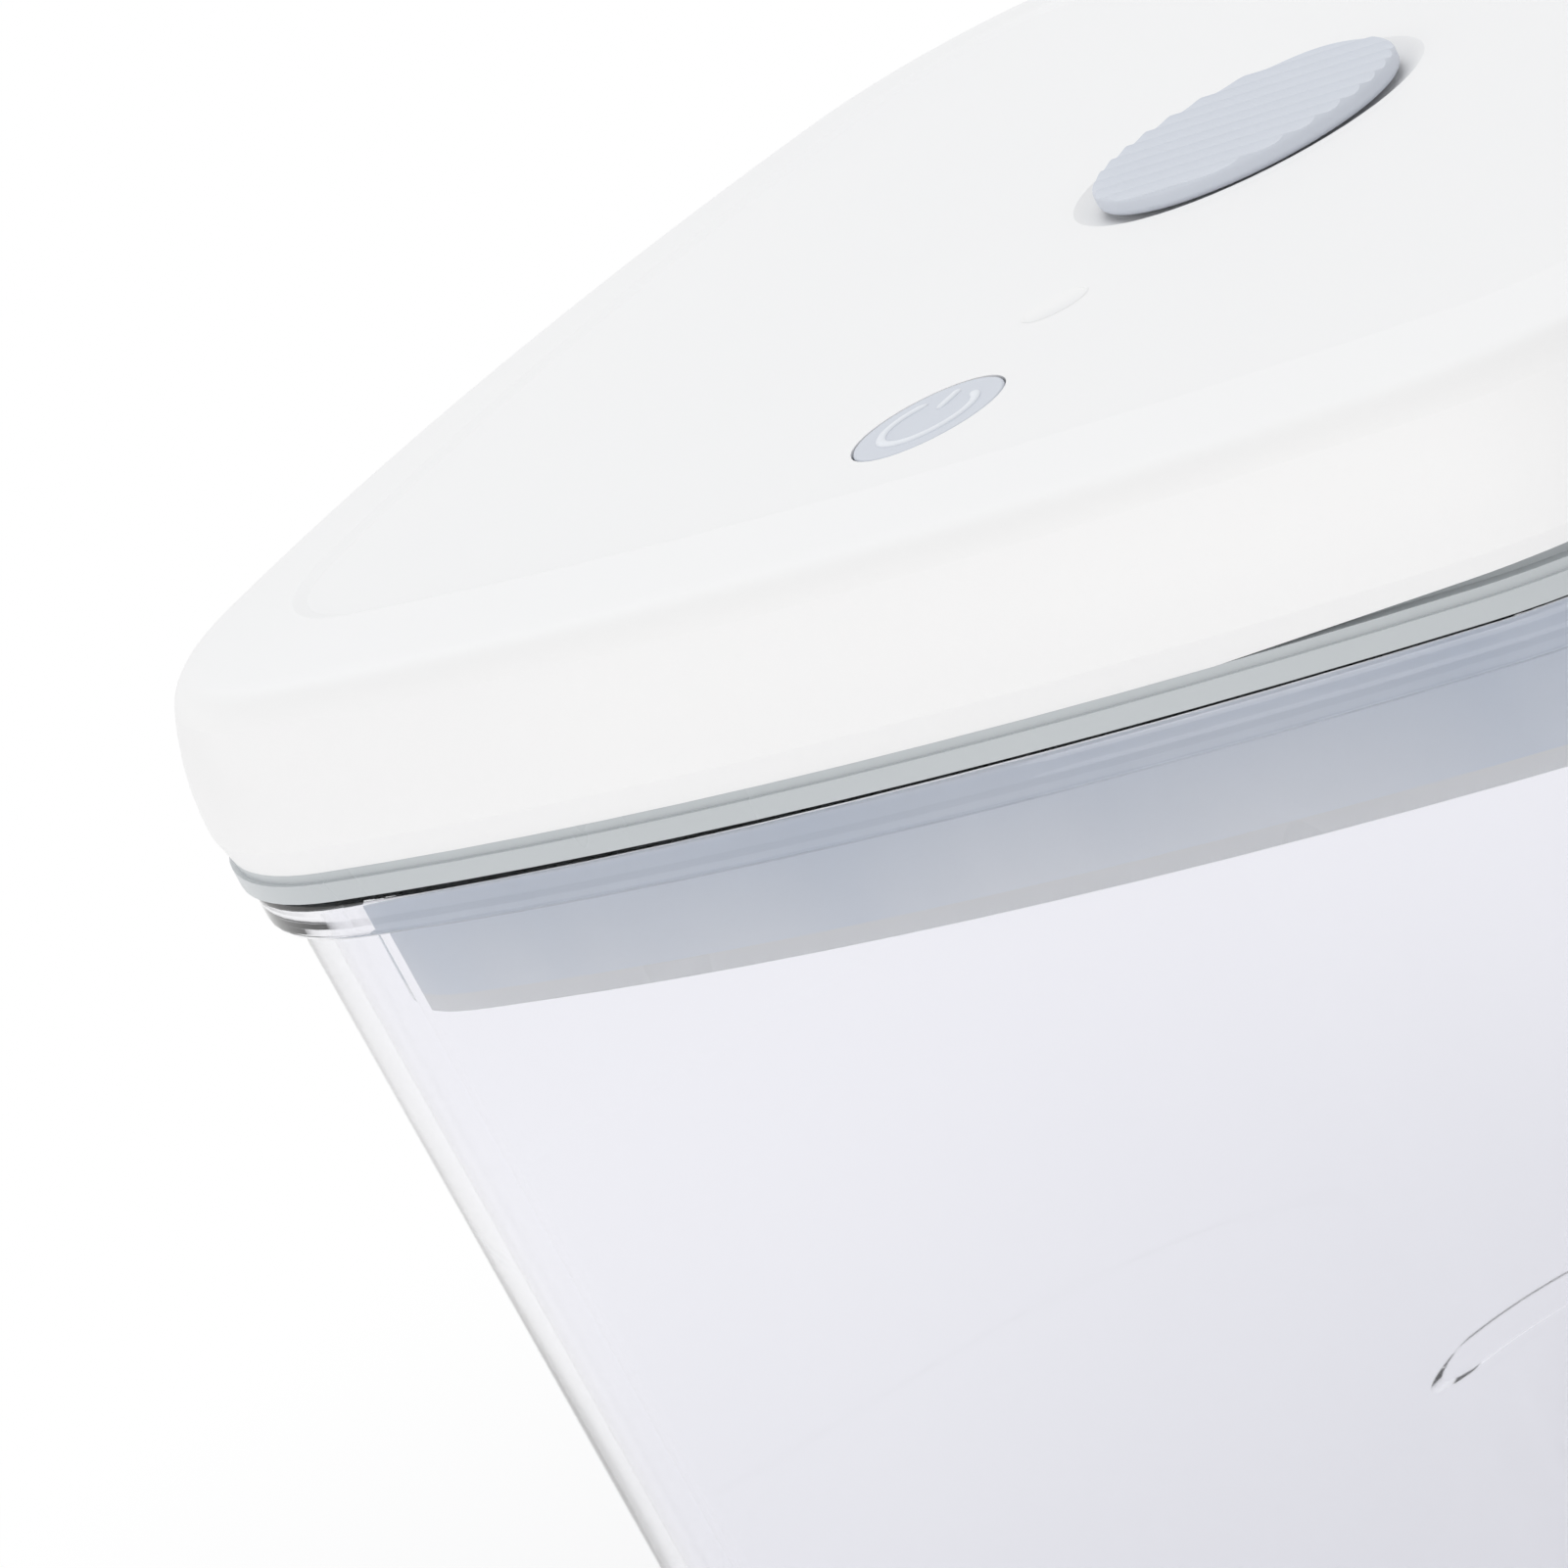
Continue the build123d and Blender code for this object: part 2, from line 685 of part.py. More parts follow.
# Power button: a flush cap, a flange that stops under the shell and a stem on the switch
with BuildPart() as power_button:
    column(0, button_y, ceiling - button_flange_height, ceiling, button_radius + button_flange)
    column(0, button_y, ceiling, panel_top, button_radius)
    fillet(power_button.faces().sort_by(Axis.Z)[-1].edges(), button_gap)
    column(0, button_y, plunger_top, ceiling - button_flange_height, button_stem_radius)
finish(power_button, "power_button")

# Tact switch: its body and the plunger that the button presses
with BuildPart() as switch_body:
    block(0, button_y, board_top, switch_top, switch_size, switch_size)
    well_low = switch_top - plunger_height - button_travel
    column(0, button_y, well_low, switch_top, plunger_radius + running_gap, Mode.SUBTRACT)
finish(switch_body, "switch_body")

with BuildPart() as switch_plunger:
    column(0, button_y, switch_top - plunger_height, plunger_top, plunger_radius)
finish(switch_plunger, "switch_plunger")

# Circuit board with its parts
with BuildPart() as circuit_board:
    with BuildSketch(Plane((0, board_y, board_top - board_thickness))):
        RectangleRounded(board_width, board_depth, board_corner)
    extrude(amount=board_thickness)
    for x, y in board_screws:
        column(x, y, board_top - board_thickness, board_top, small_screw_radius + soft_gap, Mode.SUBTRACT)
finish(circuit_board, "circuit_board")

with BuildPart() as control_chips:
    block(
        controller_x,
        board_y + controller_y,
        board_top,
        board_top + controller_height,
        controller_size,
        controller_size,
    )
    block(driver_x, board_y + driver_y, board_top, board_top + driver_height, driver_size, driver_size)
finish(control_chips, "control_chips")

with BuildPart() as wire_sockets:
    for x, y in wire_socket_places:
        socket_top = board_top + wire_socket_height
        block(x, y, board_top, socket_top, wire_socket_width, wire_socket_depth)
        block(
            x,
            y,
            board_top + wire_socket_height / 3,
            socket_top,
            wire_socket_width - 2 * wire_socket_wall,
            wire_socket_depth - 2 * wire_socket_wall,
            Mode.SUBTRACT,
        )
finish(wire_sockets, "wire_sockets")

# Indicator light: a lamp on the board and the lens that carries it to the panel
with BuildPart() as status_light:
    block(0, lens_y, board_top, board_top + led_height, led_size, led_size)
finish(status_light, "status_light")

with BuildPart() as indicator_lens:
    column(0, lens_y, ceiling - lens_flange_height, ceiling, lens_radius + lens_flange)
    column(0, lens_y, ceiling, panel_top - lens_sink, lens_radius)
    column(0, lens_y, board_top + led_height + soft_gap, ceiling - lens_flange_height, lens_stem_radius)
finish(indicator_lens, "indicator_lens")

# Pump: motor, shaft and cam, housing, diaphragm and valve head in a row along X
with BuildPart() as pump_motor:
    rod(pump_x - motor_length, pump_y, pump_axis_z, motor_length, motor_radius)
    fillet(pump_motor.faces().sort_by(Axis.X)[0].edges(), shell_wall / 2)
    bore_radius = motor_shaft_radius + running_gap
    rod(pump_x - motor_length / 2, pump_y, pump_axis_z, motor_length / 2, bore_radius, "x", Mode.SUBTRACT)
finish(pump_motor, "pump_motor")

with BuildPart() as motor_shaft:
    shaft_start = pump_x - motor_length / 2 + running_gap
    shaft_length = motor_length / 2 + cam_clearance + cam_length
    rod(shaft_start, pump_y, pump_axis_z, shaft_length, motor_shaft_radius)
finish(motor_shaft, "motor_shaft")

with BuildPart() as pump_cam:
    rod(pump_x + cam_clearance, pump_y, pump_axis_z + cam_offset, cam_length, cam_radius)
    rod(pump_x + cam_clearance, pump_y, pump_axis_z, cam_length, motor_shaft_radius, "x", Mode.SUBTRACT)
finish(pump_cam, "pump_cam")

with BuildPart() as pump_housing:
    with BuildSketch(Plane(origin=(pump_x, pump_y, pump_axis_z), z_dir=(1, 0, 0))):
        RectangleRounded(head_size, head_size, board_corner)
        Circle(motor_shaft_radius + soft_gap, mode=Mode.SUBTRACT)
    extrude(amount=housing_length)
    rod(pump_x, pump_y, pump_axis_z, head_cavity_length, head_cavity_radius, "x", Mode.SUBTRACT)
finish(pump_housing, "pump_housing")

with BuildPart() as pump_diaphragm:
    with BuildSketch(Plane(origin=(diaphragm_x, pump_y, pump_axis_z), z_dir=(1, 0, 0))):
        RectangleRounded(head_size, head_size, board_corner)
    extrude(amount=diaphragm_thickness)
finish(pump_diaphragm, "pump_diaphragm")

with BuildPart() as pump_valve_head:
    with BuildSketch(Plane(origin=(valve_head_x, pump_y, pump_axis_z), z_dir=(1, 0, 0))):
        RectangleRounded(head_size, head_size, board_corner)
    extrude(amount=valve_head_length)
    rod(inlet_x, pump_y + head_size / 2, pump_axis_z, nozzle_length, nozzle_radius, "y")
    rod(inlet_x, pump_y - head_size / 2 - nozzle_length, pump_axis_z, nozzle_length, nozzle_radius, "y")
    rod(inlet_x, pump_y + head_size / 4, pump_axis_z, head_size, nozzle_bore, "y", Mode.SUBTRACT)
    rod(inlet_x, pump_y - head_size, pump_axis_z, 3 * head_size / 4, nozzle_bore, "y", Mode.SUBTRACT)
finish(pump_valve_head, "pump_valve_head")

# Suction tube: pushed on the pump's nozzle and bent down on the inlet's valve
with BuildPart() as suction_tube:
    with BuildLine() as tube_line:
        tube_start = (inlet_x, pump_y + head_size / 2 + running_gap, pump_axis_z)
        tube_corner = (inlet_x, inlet_y, pump_axis_z)
        tube_end = (inlet_x, inlet_y, valve_top + running_gap)
        FilletPolyline(tube_start, tube_corner, tube_end, radius=tube_bend)
    with BuildSketch(Plane(origin=tube_start, z_dir=(0, 1, 0))):
        Circle(nozzle_radius + running_gap + tube_wall)
        Circle(nozzle_radius + running_gap, mode=Mode.SUBTRACT)
    sweep(path=tube_line.wires()[0])
finish(suction_tube, "suction_tube")

# Inlet under the pump: one-way valve, filter and slotted cap, and the pressure sensor
with BuildPart() as check_valve:
    column(inlet_x, inlet_y, inlet_boss_top, valve_top, valve_radius)
    column(inlet_x, inlet_y, valve_top, valve_top + nipple_height, nozzle_radius)
    column(inlet_x, inlet_y, inlet_boss_top, valve_top + nipple_height, nozzle_bore, Mode.SUBTRACT)
finish(check_valve, "check_valve")

with BuildPart() as inlet_filter:
    column(inlet_x, inlet_y, filter_top - filter_thickness, filter_top, filter_radius)
finish(inlet_filter, "inlet_filter")

with BuildPart() as filter_cap:
    column(inlet_x, inlet_y, lip_bottom, lip_bottom + filter_cap_thickness, filter_cap_radius - 2 * seat_gap)
    with BuildSketch(Plane((inlet_x, inlet_y, lip_bottom))):
        with GridLocations(0, filter_slot_pitch, 1, filter_cap_slots):
            SlotOverall(filter_slot_length, filter_slot_width)
    extrude(amount=filter_cap_thickness, mode=Mode.SUBTRACT)
finish(filter_cap, "filter_cap")

with BuildPart() as pressure_sensor:
    block(sensor_x, sensor_y, floor_top, floor_top + sensor_height, sensor_size, sensor_size)
    column(sensor_x, sensor_y, floor_top, floor_top + sensor_height / 2, sensor_bore, Mode.SUBTRACT)
finish(pressure_sensor, "pressure_sensor")

# Battery in its cradles
with BuildPart() as battery:
    can_length = battery_length - battery_cap_height
    rod(battery_x, battery_start, battery_axis_z, can_length, battery_radius, "y")
    fillet(battery.edges(), battery_cap_height / 2)
    rod(battery_x, battery_start + can_length, battery_axis_z, battery_cap_height, battery_cap_radius, "y")
finish(battery, "battery")


def strap(plane, radius, reach):
    """Half a hoop over a round body, with an ear each side that is screwed to a post."""
    with BuildSketch(plane) as section:
        Circle(radius + strap_thickness)
        with Locations((0, -radius)):
            Rectangle(4 * radius, 2 * radius, mode=Mode.SUBTRACT)
        with Locations((0, strap_thickness / 2)):
            Rectangle(2 * reach + strap_ear, strap_thickness)
        Circle(radius, mode=Mode.SUBTRACT)
    extrude(section.sketch, amount=strap_width / 2, both=True)


with BuildPart() as motor_strap:
    motor_middle = (pump_x - motor_length / 2, pump_y, pump_axis_z)
    motor_strap_plane = Plane(origin=motor_middle, x_dir=(0, 1, 0), z_dir=(1, 0, 0))
    strap(motor_strap_plane, motor_radius + seat_gap, motor_strap_reach)
    for x, y, post_top in strap_posts[:2]:
        column(x, y, post_top, post_top + strap_thickness, small_screw_radius + soft_gap, Mode.SUBTRACT)
finish(motor_strap, "motor_strap")

with BuildPart() as battery_strap:
    battery_middle = (battery_x, battery_y, battery_axis_z)
    battery_strap_plane = Plane(origin=battery_middle, x_dir=(-1, 0, 0), z_dir=(0, 1, 0))
    strap(battery_strap_plane, battery_radius + seat_gap, battery_strap_reach)
    for x, y, post_top in strap_posts[2:]:
        column(x, y, post_top, post_top + strap_thickness, small_screw_radius + soft_gap, Mode.SUBTRACT)
finish(battery_strap, "battery_strap")

# Charging port: a small board on the ring and the socket on it
with BuildPart() as charging_board:
    port_board_y = shell_back - port_board_gap - port_board_depth / 2
    block(port_x, port_board_y, skirt_bottom, port_board_top, port_board_width, port_board_depth)
    for x in port_screws:
        column(x, port_screw_y, skirt_bottom, port_board_top, small_screw_radius + soft_gap, Mode.SUBTRACT)
finish(charging_board, "charging_board")

with BuildPart() as charging_socket:
    mouth_plane = Plane(origin=(port_x, shell_back - seat_gap, port_z), x_dir=(1, 0, 0), z_dir=(0, -1, 0))
    with BuildSketch(mouth_plane):
        SlotOverall(port_width, port_height)
    extrude(amount=port_depth)
    with BuildSketch(mouth_plane):
        SlotOverall(port_width - 2 * port_wall, port_height - 2 * port_wall)
        Rectangle(port_tongue_width, port_tongue_thickness, mode=Mode.SUBTRACT)
    extrude(amount=port_depth - port_back_wall, mode=Mode.SUBTRACT)
finish(charging_socket, "charging_socket")

# Screws: six long ones close the lid, and short ones hold the boards and straps
with BuildPart() as shell_screw_set:
    for x, y in shell_screws:
        head_top = lip_bottom + screw_recess
        head_low = head_top - screw_head_height
        column(x, y, head_low, head_top, screw_head_radius)
        column(x, y, head_top, head_top + shell_screw_length, screw_radius)
        with BuildSketch(Plane((x, y, head_low))):
            RegularPolygon(screw_socket_radius, 6)
        extrude(amount=screw_head_height / 2, mode=Mode.SUBTRACT)
finish(shell_screw_set, "shell_screw_set")

with BuildPart() as small_screw_set:
    for x, y in board_screws:
        head = board_top - board_thickness
        column(x, y, head - small_head_height, head, small_head_radius)
        column(x, y, head, head + small_screw_length, small_screw_radius)
    for x, y, post_top in strap_posts:
        head = post_top + strap_thickness
        column(x, y, head, head + small_head_height, small_head_radius)
        column(x, y, head - small_screw_length + small_head_height, head, small_screw_radius)
    for x in port_screws:
        column(x, port_screw_y, port_board_top, port_board_top + small_head_height, small_head_radius)
        column(x, port_screw_y, port_board_top - port_screw_length, port_board_top, small_screw_radius)
finish(small_screw_set, "small_screw_set")
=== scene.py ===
# %% [markdown]
# # A vacuum pet food container
# The real object is a clear tub with a white lid. A small pump in the lid draws the air out,
# a button starts it, and a round knob lets the air back in. The solids are already made and
# packed, so this script dresses them: camera, light, finishes and the fine raised lines.

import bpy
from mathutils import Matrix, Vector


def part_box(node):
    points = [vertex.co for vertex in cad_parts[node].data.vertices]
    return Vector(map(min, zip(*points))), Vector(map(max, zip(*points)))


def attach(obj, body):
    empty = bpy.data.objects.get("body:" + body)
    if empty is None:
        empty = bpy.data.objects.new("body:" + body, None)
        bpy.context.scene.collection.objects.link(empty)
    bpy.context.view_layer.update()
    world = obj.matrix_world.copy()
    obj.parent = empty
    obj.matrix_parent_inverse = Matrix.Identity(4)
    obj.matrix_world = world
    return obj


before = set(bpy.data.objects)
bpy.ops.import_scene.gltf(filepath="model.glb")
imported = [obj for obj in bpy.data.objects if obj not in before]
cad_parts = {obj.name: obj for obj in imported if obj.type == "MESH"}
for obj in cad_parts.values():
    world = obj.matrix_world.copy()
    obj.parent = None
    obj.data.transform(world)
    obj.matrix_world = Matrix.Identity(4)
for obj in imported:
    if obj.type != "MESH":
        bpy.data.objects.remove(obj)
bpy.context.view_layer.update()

import math

import bmesh
import bpy
from mathutils import Matrix, Vector

scene = bpy.context.scene

# %% [markdown]
# ## Colours as the eye names them
# A picture editor gives a colour as three numbers up to 255, on a curve that suits the eye.
# Shaders want linear light. One could type linear numbers by hand, but then nobody could
# compare them with a swatch, so a small function converts them.

# %% Turn a picture editor's colour into linear light


def tint(red, green, blue):
    """A colour from 0 to 255 a channel, as linear red, green, blue and alpha."""
    linear = []
    for level in (red / 255, green / 255, blue / 255):
        # The screen's curve has a short straight foot and then follows a power of 2.4.
        linear.append(level / 12.92 if level < 0.04 else ((level + 0.055) / 1.055) ** 2.4)
    return (*linear, 1.0)


print("middle grey of a screen in linear light:", round(tint(128, 128, 128)[0], 3))

# %% [markdown]
# ## Shader maths written as sums
# A finish is a small calculation: a grain, times a strength, plus a base. Node by node that
# is long to write and hard to read. A class that wraps one socket and knows the signs + and *
# lets the sum be written as it is said, and adds the Math nodes behind it.

# %% A socket that can be added and multiplied


class Signal:
    """One output socket of a node. Arithmetic on it adds Math nodes."""

    def __init__(self, graph, socket):
        self.graph = graph
        self.socket = socket

    def output(self, name):
        """Another output of the same node."""
        return Signal(self.graph, self.socket.node.outputs[name])

    def math(self, operation, first, second):
        """The result of one Math node."""
        return self.graph.node("ShaderNodeMath", {"operation": operation}, {0: first, 1: second})

    def __add__(self, other):
        return self.math("ADD", self, other)

    def __radd__(self, other):
        return self.math("ADD", other, self)

    def __mul__(self, other):
        return self.math("MULTIPLY", self, other)

    def __rmul__(self, other):
        return self.math("MULTIPLY", other, self)


class Graph:
    """The node tree of a material or a world, with one way to add any node."""

    def __init__(self, owner):
        owner.use_nodes = True
        self.nodes = owner.node_tree.nodes
        self.links = owner.node_tree.links

    def feed(self, socket, value):
        """Links a signal to a socket, or sets the socket's own value."""
        if isinstance(value, Signal):
            self.links.new(value.socket, socket)
        else:
            socket.default_value = value

    def node(self, kind, settings=None, inputs=None, output=0):
        """Adds a node: settings first, then the values or links of its sockets."""
        node = self.nodes.new(kind)
        for name, value in (settings or {}).items():
            setattr(node, name, value)
        for name, value in (inputs or {}).items():
            self.feed(node.inputs[name], value)
        return Signal(self, node.outputs[output]) if node.outputs else None

    def blend(self, factor, first, second):
        """A colour between two others, by the Mix node's colour sockets 6, 7 and 2."""
        return self.node(
            "ShaderNodeMix", {"data_type": "RGBA"}, {0: factor, 6: first, 7: second}, 2
        )

    def between(self, value, start, end, low=0.0, high=1.0, curve="LINEAR"):
        """How far a value is from start to end, as a number that stays in low to high."""
        return self.node(
            "ShaderNodeMapRange",
            {"interpolation_type": curve},
            {"Value": value, "From Min": start, "From Max": end, "To Min": low, "To Max": high},
        )


print("shader maths ready")

# %% [markdown]
# ## The camera
# The picture is taken from the front right with a long lens, a little above the lid, and the
# camera is rolled, so the tub leans. The place was found by matching edges of the lid, knob
# and button. An aim and a roll say more than a table of angles, so the camera is built from
# its line of sight, then turned about it.

# %% Place the camera
azimuth, elevation = math.radians(43.66), math.radians(15.30)
roll = -0.485  # radians
camera_place = Vector((0.5105, -0.6494, 0.4712))
focal_length, sensor_width = 174.88, 36.0  # millimetres

back = Vector((
    math.sin(azimuth) * math.cos(elevation),
    -math.cos(azimuth) * math.cos(elevation),
    math.sin(elevation),
))
level_right = Vector((math.cos(azimuth), math.sin(azimuth), 0))
level_up = back.cross(level_right)
right = level_right * math.cos(roll) + level_up * math.sin(roll)
up = level_up * math.cos(roll) - level_right * math.sin(roll)
turned = Matrix((right, up, back)).transposed().to_4x4()

camera = bpy.data.objects.new("camera", bpy.data.cameras.new("camera"))
scene.collection.objects.link(camera)
camera.matrix_world = Matrix.Translation(camera_place) @ turned
camera.data.lens = focal_length
camera.data.sensor_width = sensor_width
camera.data.clip_start = 0.01
camera.data.clip_end = 30.0
scene.camera = camera
scene.view_settings.view_transform = "Standard"
print("camera", round(camera_place.length, 3), "m from the foot of the tub")

# %% [markdown]
# ## White all round
# Catalogue pictures stand on pure white. A strong lamp would do it but burn the object out.
# Instead the world is white only for what the eye, a mirror or a clear wall sees, and softer
# for the light that falls on the plastic.

# %% Make the world


def seen(graph):
    """1 where a ray comes from the camera, a reflection or a clear wall, otherwise 0."""
    path = graph.node("ShaderNodeLightPath", output="Is Camera Ray")
    mirrored = path.math("MAXIMUM", path, path.output("Is Glossy Ray"))
    return path.math("MAXIMUM", mirrored, path.output("Is Transmission Ray"))


soft_level = 0.76
world = bpy.data.worlds.new("studio_air")
scene.world = world
air = Graph(world)
air.nodes.clear()
air_strength = soft_level + (1 - soft_level) * seen(air)
glow = air.node(
    "ShaderNodeBackground", inputs={"Color": tint(255, 255, 255), "Strength": air_strength}
)
air.node("ShaderNodeOutputWorld", inputs={"Surface": glow})
print("soft light level:", soft_level)

# %% [markdown]
# ## The floor
# The tub stands on a plain pale sweep. Near the feet it is a real surface that takes a
# shadow, and further out it turns to plain white, so that no horizon shows. A cut-off circle
# would show an edge, so the change is smooth.

# %% Lay the floor
floor_half_width, floor_drop = 6.0, 0.0002
shadow_start, shadow_end = 0.22, 0.75

floor_mesh = bpy.data.meshes.new("floor")
floor_shape = bmesh.new()
bmesh.ops.create_grid(floor_shape, x_segments=8, y_segments=8, size=floor_half_width)
floor_shape.to_mesh(floor_mesh)
floor_shape.free()
floor = bpy.data.objects.new("floor", floor_mesh)
floor.location = (0, 0, -floor_drop)
scene.collection.objects.link(floor)

pale_floor = bpy.data.materials.new("pale_floor")
ground = Graph(pale_floor)
ground.nodes.clear()
place = ground.node("ShaderNodeNewGeometry", output="Position")
reach = ground.node("ShaderNodeVectorMath", {"operation": "LENGTH"}, {0: place}, "Value")
far = ground.between(reach, shadow_start, shadow_end, curve="SMOOTHSTEP")
matt = ground.node("ShaderNodeBsdfDiffuse", inputs={"Color": tint(244, 244, 245)})
white = ground.node("ShaderNodeEmission", inputs={"Color": tint(255, 255, 255), "Strength": 1.0})
surface = ground.node("ShaderNodeMixShader", inputs={0: far * seen(ground), 1: matt, 2: white})
ground.node("ShaderNodeOutputMaterial", inputs={"Surface": surface})
floor.data.materials.append(pale_floor)
print("floor laid, shadow fades out at", shadow_end, "m")

# %% [markdown]
# ## Lamps
# Three large soft lamps light the picture: one high at the back left, which leaves a thin
# shadow on the near side of the knob, a stronger one low in front for the skirt and the tub's
# walls, and a weak one at the right. Small lamps would draw hard edges, which the real picture
# hasn't got. They are hidden from the camera so that other views stay clear.

# %% Hang the lamps
lamp_aim = Vector((0, 0, 0.2))
# Each lamp has its place, its width in metres, its power in watts and its colour.
lamp_plan = {
    "lamp_back": ((-0.9, 0.9, 1.5), 1.4, 6.0, (0.94, 0.97, 1.0)),
    "lamp_front": ((-0.4, -1.9, 0.7), 1.6, 10.8, (1.0, 0.985, 0.96)),
    "lamp_right": ((1.9, 0.3, 0.8), 1.0, 3.0, (1.0, 1.0, 1.0)),
}
for name, (where, width, power, colour) in lamp_plan.items():
    lamp = bpy.data.objects.new(name, bpy.data.lights.new(name, "AREA"))
    lamp.data.size = width
    lamp.data.energy = power
    lamp.data.color = colour
    lamp.location = where
    lamp.rotation_mode = "QUATERNION"
    lamp.rotation_quaternion = (Vector(where) - lamp_aim).to_track_quat("Z", "Y")
    lamp.visible_camera = False
    scene.collection.objects.link(lamp)
print("lamps:", ", ".join(lamp_plan))

# %% [markdown]
# ## What every finish starts from
# Each finish is one Principled shader plus grain. The grain is worked out from the place of a
# point on the object, in metres, so a millimetre of grain is a millimetre everywhere and no
# unwrapping is needed.

# %% A finish and the grains that it uses


class Finish(Graph):
    """A material with one Principled shader whose constants are set on its own sockets."""

    def __init__(self, name, **constants):
        self.material = bpy.data.materials.new(name)
        super().__init__(self.material)
        self.shader = self.nodes["Principled BSDF"]
        for socket, value in constants.items():
            self.shader.inputs[socket.replace("_", " ")].default_value = value
        self.place = self.node("ShaderNodeTexCoord", output="Object")

    def height(self):
        """How high a point of the piece is with the lid on, in metres above the floor."""
        return self.node("ShaderNodeSeparateXYZ", inputs={"Vector": self.place}, output="Z")

    def grain(self, scale, detail=2.0, stretch=(1, 1, 1)):
        """Soft noise, scale features a metre, stretched along an axis if asked."""
        where = self.node("ShaderNodeMapping", inputs={"Vector": self.place, "Scale": stretch})
        return self.node(
            "ShaderNodeTexNoise", inputs={"Vector": where, "Scale": scale, "Detail": detail}
        )

    def bump(self, height, strength, distance):
        """Makes the surface look raised by a height signal, at most distance metres."""
        normal = self.node(
            "ShaderNodeBump",
            inputs={"Height": height, "Strength": strength, "Distance": distance},
        )
        self.feed(self.shader.inputs["Normal"], normal)

    def paint(self, colour, roughness):
        """Feeds the colour and the roughness, which vary over the surface."""
        self.feed(self.shader.inputs["Base Color"], colour)
        self.feed(self.shader.inputs["Roughness"], roughness)

    def dress(self, *names):
        """Gives the finish to CAD nodes through their objects' own slots."""
        for name in names:
            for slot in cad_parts[name].material_slots:
                slot.link = "OBJECT"
                slot.material = self.material
        print(self.material.name, "->", ", ".join(names))


print("finish helpers ready")

# %% [markdown]
# ## The white lid
# The lid is moulded white plastic with a fine spark-eroded grain, which spreads reflections
# into a satin glow. A flat colour with one gloss would look like paint on glass. Two noises
# mend that: a fine one for the grain in the relief, and a broad one that shifts the gloss a
# little, as on a real moulding.

# %% White satin plastic
satin_white = Finish("satin_white", IOR=1.46)
broad = satin_white.grain(14.0)
fine = satin_white.grain(2600.0, detail=1.0)
satin_white.paint(
    colour=satin_white.blend(broad, tint(238, 238, 239), tint(242, 242, 242)),
    roughness=0.36 + 0.10 * broad + 0.04 * fine,
)
satin_white.bump(fine, 0.10, 0.0001)
satin_white.dress("lid_shell", "indicator_lens")

# %% [markdown]
# ## The grey-green ring
# The ring under the lid, and the plug that hangs in the tub, are one moulding in a translucent
# grey-green plastic, glossier than the lid. Flow of the melt leaves slow bands of shade. The
# plug looks paler, because light comes through the tub to it from all sides. Two materials
# would need a cut in the solid, so one material changes with height, just below the tub's rim.

# %% Grey-green gloss plastic
grey_green = Finish("gloss_grey_green", IOR=1.49)
flow = grey_green.grain(22.0, detail=3.0, stretch=(1, 1, 0.3))
tub_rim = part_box("container_body")[1].z
hung = grey_green.between(grey_green.height(), tub_rim - 0.001, tub_rim - 0.004)
ring_colour = grey_green.blend(flow, tint(184, 189, 192), tint(193, 198, 201))
plug_colour = grey_green.blend(flow, tint(238, 241, 241), tint(246, 248, 248))
grey_green.paint(
    colour=grey_green.blend(hung, ring_colour, plug_colour),
    roughness=0.22 + 0.12 * flow,
)
grey_green.bump(grey_green.grain(900.0), 0.04, 0.0001)
grey_green.dress("lid_base", "filter_cap")

# %% [markdown]
# ## Blue-grey knob and button
# Knob and button are moulded in the same blue-grey plastic, with a matt feel for the finger.
# A cloudy noise shifts shade and gloss together, and tiny pores break the highlights up.

# %% Blue-grey soft-touch plastic
blue_grey = Finish("soft_touch_blue_grey", IOR=1.45)
cloud = blue_grey.grain(60.0, detail=3.0)
pores = blue_grey.grain(3200.0, detail=1.0)
blue_grey.paint(
    colour=blue_grey.blend(cloud, tint(201, 206, 216), tint(208, 213, 222)),
    roughness=0.42 + 0.12 * cloud,
)
blue_grey.bump(pores, 0.08, 0.0001)
blue_grey.dress("release_knob", "power_button")

# %% [markdown]
# ## The seal
# The seal is a soft blue-grey silicone band in the plug's groove. Silicone is matt, and this
# one is paler in patches. Over that lies painted shade under the rim and painted light
# towards its foot. A picture of it could be wrapped round, but noise times height says the
# same in two lines.

# %% Blue-grey silicone
seal_finish = Finish("seal_silicone", IOR=1.41)
seal_patch_noise = seal_finish.grain(26.0, stretch=(1, 1, 0.25))
patches = seal_finish.between(seal_patch_noise, 0.25, 0.60, low=0.35)
seal_low, seal_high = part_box("gasket")
# Painted shade under the rim and painted light towards the seal's foot, set by height.
rim_shade_foot_light = seal_finish.between(seal_finish.height(), seal_high.z, seal_low.z, low=0.25)
seal_finish.paint(
    colour=seal_finish.blend(patches * rim_shade_foot_light, tint(214, 226, 240), tint(246, 251, 255)),
    roughness=0.45 + 0.2 * seal_patch_noise,
)
seal_finish.bump(seal_finish.grain(700.0), 0.05, 0.0001)
seal_finish.dress("gasket", "valve_seal", "pump_diaphragm")

# %% [markdown]
# ## The clear tub
# The tub is injection-moulded clear plastic, 2.6 mm thick. A see-through trick would be quick,
# but only a real refracting wall bends the seal and thickens the rim, as the eye expects.
# The colour is very slightly blue, and each surface that a ray crosses tints it once more.

# %% Clear plastic
clear_wall = Finish("clear_tub_plastic", IOR=1.49, Transmission_Weight=1.0)
ripple = clear_wall.grain(9.0, detail=1.0)
clear_wall.paint(
    colour=clear_wall.blend(ripple, tint(244, 244, 248), tint(248, 248, 251)),
    roughness=0.012 + 0.02 * ripple,
)
clear_wall.bump(ripple, 0.25, 0.002)
clear_wall.dress("container_body")

